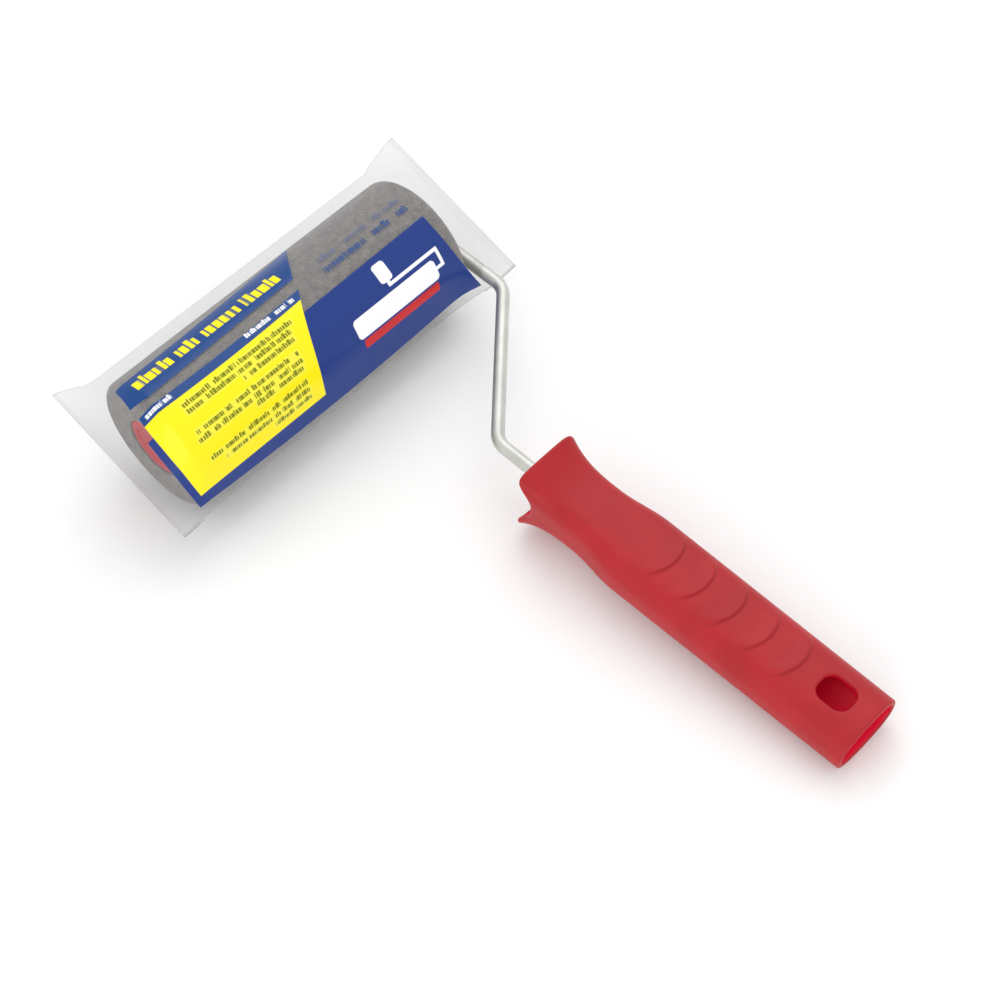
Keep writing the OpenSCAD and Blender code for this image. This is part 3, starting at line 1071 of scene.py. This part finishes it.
def blankLineGroup():
    # a row of plain dashes that stands for a line of small print
    sizes = dict.fromkeys(("Left", "Right", "Row", "Height", "Word", "Gap Level", "Seed"), 1.0)
    tree, given, result = newGroup("blankLine", {"Place": "Vector", **sizes}, {"Mask": "Float"})
    along, row, _ = separate(given["Place"])
    begins = ramp(difference(along, given["Left"]), 0.0, 0.15)
    ends = ramp(difference(given["Right"], along), 0.0, 0.15)
    words = total(maths("DIVIDE", along, given["Word"]), product(given["Seed"], 7.31))
    gaps = noiseAlongLine(words, 1.0, 1.0)
    inWord = ramp(difference(gaps, given["Gap Level"]), 0.0, 0.02)
    cell = maths("DIVIDE", along, product(given["Height"], 0.42))
    cell = maths("MULTIPLY_ADD", noiseAlongLine(cell, 0.8, 0.0), 1.1, cell)
    inDash = ramp(maths("FRACT", cell), 0.62, 0.8, 1.0, 0.1)
    dash = total(maths("FLOOR", cell), given["Seed"])
    chance = addNode(tree, "ShaderNodeTexWhiteNoise", {"noise_dimensions": "1D"}, W=dash).outputs[0]
    taller = ramp(chance, 0.68, 0.7)
    half = product(given["Height"], maths("MULTIPLY_ADD", taller, 0.1, 0.3))
    lifted = product(given["Height"], product(taller, -0.1))
    away = magnitude(difference(difference(row, given["Row"]), lifted))
    inRow = ramp(difference(away, half), -0.1, 0.1, 1.0, 0.0)
    feed(result["Mask"], product(begins, ends, inWord, inDash, inRow))
    return tree


roundedBar = roundedBarGroup()
blankLine = blankLineGroup()

filmPrint = {
    # each corner: place along the sleeve, place round it, how far the next edge bows inwards
    "headerPanel": [
        (-45.9, 15.2, 0.95), (11.7, 10.9, 0), (4.3, 22.9, 0), (-43.5, 24.2, 0), (-47.1, 23.0, 0),
    ],
    "bandPanel": [(-47.2, 26.3, 0.56), (3.0, 26.1, 0), (1.4, 28.6, -0.49), (-47.5, 28.8, 0)],
    "yellowPanel": [(-47.5, 28.8, 0.49), (1.4, 28.6, 1.92), (-5.8, 53.0, 0), (-46.1, 52.95, -0.69)],
    "bluePanel": [
        (-48.95, 31.75, 0.49), (0.4, 31.5, 0), (40.45, 30.95, 1.4),
        (46.4, 55.9, -1.7), (-47.4, 56.1, -0.64),
    ],
    "headerBlue": colour(20, 67, 132),
    "panelBlue": colour(30, 57, 130),
    "yellow": colour(254, 236, 18),
    "white": colour(250, 250, 252),
    "red": colour(200, 38, 42),
    "olive": colour(118, 122, 8),
    "paleYellow": colour(232, 236, 96),
    "inkBlue": colour(26, 66, 126),
    "bareFilm": (0.44, 0.44, 0.445, 1.0),
    "headerWords": [(-43.0, -31.6), (-29.9, -23.6), (-21.6, -10.4), (-8.9, 2.4)],  # from and to
    "headerRow": 19.3,
    "textLines": [
        (-38.8, -4.3, 31.35), (-38.9, -6.0, 33.15), (-22.7, -6.4, 35.05),
        (-40.0, -7.8, 38.2), (-40.7, -7.9, 40.2), (-23.6, -8.7, 41.95),
        (-40.2, -9.4, 45.6), (-36.4, -9.6, 47.8), (-21.5, -9.7, 50.0),
    ],  # from, to and row
    "smallWords": [(-46.4, -38.8, 27.6, 2.0), (-15.5, 0.4, 27.4, 5.0)],  # from, to, row and seed
    # from, to, row, height, seed and strength
    "foamWords": [(12.3, 39.4, 23.4, 2.3, 4.0, 0.7), (11.2, 39.2, 26.6, 2.7, 9.0, 0.95)],
    # each bar of the roller symbol: from and to along the sleeve, from and to round it, corner
    "symbol": [
        (20.3, 24.1, 33.0, 38.2, 0.9),
        (21.7, 22.7, 37.5, 39.6, 0.3),
        (21.7, 38.2, 38.7, 39.6, 0.3),
        (37.3, 38.2, 38.7, 44.0, 0.3),
        (34.5, 38.2, 43.1, 44.0, 0.3),
        (8.0, 35.6, 40.8, 46.3, 1.2),
    ],
    "stripe": (9.0, 34.6, 46.9, 49.4, 0.5),
}


def reachAlong(place, direction):
    values = (place, (float(direction[0]), float(direction[1]), 0.0))
    return addBeside(values, "ShaderNodeVectorMath", {"operation": "DOT_PRODUCT"}, values).outputs["Value"]


def panelMask(place, corners):
    # inside of a panel, from the distance to each of its straight or bowed edges
    middle = np.mean(corners, axis=0)[:2]
    depths = []
    for (startX, startY, bow), (endX, endY, _) in zip(corners, corners[1:] + corners[:1]):
        start, edge = np.array([startX, startY]), np.array([endX - startX, endY - startY])
        length = np.linalg.norm(edge)
        normal = np.array([-edge[1], edge[0]]) / length
        if normal @ (middle - start) < 0:
            normal = -normal
        depth = total(reachAlong(place, normal), -float(normal @ start))
        if bow:
            along = 2 * edge / length**2  # runs from -1 to 1 over the edge
            share = difference(reachAlong(place, along), float(along @ (start + edge / 2)))
            bent = maths("MULTIPLY_ADD", product(share, share), bow, -bow)
            depth = total(depth, bent)
        depths.append(depth)
    return ramp(combined("MINIMUM", depths), -0.09, 0.09)


def bar(place, left, right, low, high, corner):
    values = {
        "Centre X": (left + right) / 2,
        "Centre Y": (low + high) / 2,
        "Half Length": (right - left) / 2,
        "Half Height": (high - low) / 2,
    }
    return useGroup(roundedBar, Place=place, Corner=corner, **values)["Mask"]


def dashes(place, left, right, row, height, word, seed, gaps=0.38):
    values = {"Left": left, "Right": right, "Row": row, "Height": height, "Word": word, "Seed": seed}
    return useGroup(blankLine, Place=place, Gap_Level=gaps, **values)["Mask"]


panelNames = ("header", "band", "yellow", "blue")


def printMasks(spot):
    # one mask for each part of the print
    lines = filmPrint["textLines"]
    masks = {name: panelMask(spot, filmPrint[name + "Panel"]) for name in panelNames}
    masks["words"] = strongest(*(
        dashes(spot, left, right, filmPrint["headerRow"], 5.0, 9.0, 3.0 + index, 0.0)
        for index, (left, right) in enumerate(filmPrint["headerWords"])
    ))
    masks["small"] = strongest(*(
        dashes(spot, left, right, row, 1.7, 2.2, seed) for left, right, row, seed in filmPrint["smallWords"]
    ))
    text = (dashes(spot, *line, 1.75, 2.6, index * 1.7) for index, line in enumerate(lines))
    masks["text"] = product(strongest(*text), 0.95)
    halo = (bar(spot, left - 0.4, right + 0.4, row - 1.0, row + 1.0, 0.6) for left, right, row in lines)
    masks["halo"] = product(strongest(*halo), 0.45)
    masks["onFoam"] = strongest(*(
        product(dashes(spot, left, right, row, height, 4.5, seed, 0.34), strength)
        for left, right, row, height, seed, strength in filmPrint["foamWords"]
    ))
    masks["symbol"] = strongest(*(bar(spot, *sizes) for sizes in filmPrint["symbol"]))
    masks["stripe"] = bar(spot, *filmPrint["stripe"])
    return masks


printLayers = {  # from the lowest to the highest
    "blue": "panelBlue",
    "symbol": "white",
    "stripe": "red",
    "band": "headerBlue",
    "small": "white",
    "header": "headerBlue",
    "words": "yellow",
    "yellow": "yellow",
    "halo": "paleYellow",
    "text": "olive",
    "onFoam": "inkBlue",
}


def clearFilm(tree, spot, halfLength):
    # how much the bare film hides: more at a slant, in the seals, and along the lower fold, where the greyer
    # strip is painted shade
    along, around, _ = separate(spot)
    farther = magnitude(difference(around, halfLength))
    # painted shade: a greyer, more solid strip of film along the lower fold
    lowerFold = ramp(farther, 0.2, 1.6, 0.22, 0.0)
    freeSeal = ramp(along, -54.2, -53.6, 0.06, 0.0)
    wireSeal = ramp(along, 56.4, 57.0, 0.0, 0.05)
    facing = addNode(tree, "ShaderNodeLayerWeight", Blend=0.35).outputs["Facing"]
    slanted = product(maths("POWER", facing, 2.2), 0.36)
    return total(slanted, 0.135, lowerFold, freeSeal, wireSeal)


def filmMaterial(halfLength):
    constants = {"Roughness": 0.2, "IOR": 1.5, "Specular_IOR_Level": 0.28}
    material, tree, shader, place = newMaterial("printedFilm", **constants)
    spot = storedValue(tree, "filmPlace", "Vector")
    masks = printMasks(spot)
    tint = filmPrint["bareFilm"]
    for name, tone in printLayers.items():
        tint = mixColour(masks[name], tint, filmPrint[tone])
    ink = strongest(*(masks[name] for name in (*panelNames, "onFoam")))
    solid = strongest(clearFilm(tree, spot, halfLength), ink)
    waves = bumps(noise(place, 110.0, Detail=2.0), 0.12, 0.0006)
    feedAll(shader, Base_Color=tint, Alpha=solid, Normal=waves)
    return material


filmHalfLength = sum(hullLengths()[2])
film = buildFilm(filmHalfLength)
setMaterial(film, filmMaterial(filmHalfLength))
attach(film, "frame")
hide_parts("film_sleeve")
print("film sleeve built:", len(film.data.polygons), "faces")

# ---- floor, light and camera

studio = {
    "floorReach": 3.0,
    "floorTone": colour(250, 250, 250),
    "skyStrength": 0.95,
    "keyPower": 2.8,
    "keyPlace": (0.5, 0.35, 0.9),
    "keySize": 1.0,
    "fillPower": 2.0,
    "fillPlace": (-0.9, -0.35, 0.3),
    "fillSize": 0.8,
    "lightTarget": (0.0, 0.0, 0.02),
}

cameraView = {
    "azimuth": -42.97,
    "elevation": 54.595,
    "roll": -4.3,
    "distance": 0.4893,
    "target": (0.00671, 0.01164, 0.0),
    "lens": 72.53,
    "sensor": 36,
    "nearest": 0.01,
}


def buildFloor():
    reach, tone = studio["floorReach"], studio["floorTone"]
    mesh = bpy.data.meshes.new("floor")
    corners = [(-reach, -reach, 0), (reach, -reach, 0), (reach, reach, 0), (-reach, reach, 0)]
    mesh.from_pydata(corners, [], [(0, 1, 2, 3)])
    made = addToScene("floor", mesh)
    material, _, shader, place = newMaterial("floorPaper", Roughness=0.9, Specular_IOR_Level=0.1)
    speckle = noise(place, 300.0, Detail=2.0)
    feedAll(shader, Base_Color=mixColour(speckle, shaded(tone, 0.985), tone))
    setMaterial(made, material)


def areaLight(name):
    data = bpy.data.lights.new(name + "Light", "AREA")
    data.energy = studio[name + "Power"]
    data.shape = "DISK"
    data.size = studio[name + "Size"]
    made = addToScene(name + "Light", data)
    made.location = studio[name + "Place"]
    towards = Vector(studio["lightTarget"]) - Vector(studio[name + "Place"])
    made.rotation_euler = towards.to_track_quat("-Z", "Y").to_euler()


def buildSky():
    world = bpy.data.worlds.new("studioSky")
    world.use_nodes = True
    background = world.node_tree.nodes["Background"]
    background.inputs["Color"].default_value = (1.0, 1.0, 1.0, 1.0)
    background.inputs["Strength"].default_value = studio["skyStrength"]
    bpy.context.scene.world = world
    bpy.context.scene.view_settings.view_transform = "Standard"


def buildCamera():
    azimuth, elevation, roll = (math.radians(cameraView[key]) for key in ("azimuth", "elevation", "roll"))
    flat = math.cos(elevation)
    back = Vector((math.sin(azimuth) * flat, -math.cos(azimuth) * flat, math.sin(elevation)))
    right = Vector((math.cos(azimuth), math.sin(azimuth), 0))
    up = back.cross(right)
    right, up = right * math.cos(roll) + up * math.sin(roll), up * math.cos(roll) - right * math.sin(roll)
    data = bpy.data.cameras.new("camera")
    data.lens = cameraView["lens"]
    data.sensor_width = cameraView["sensor"]
    data.clip_start = cameraView["nearest"]
    made = addToScene("camera", data)
    spot = Vector(cameraView["target"]) + back * cameraView["distance"]
    turned = Matrix((right, up, back)).transposed().to_4x4()
    made.matrix_world = Matrix.Translation(spot) @ turned
    bpy.context.scene.camera = made


buildFloor()
areaLight("key")
areaLight("fill")
buildSky()
buildCamera()
print("stage set")
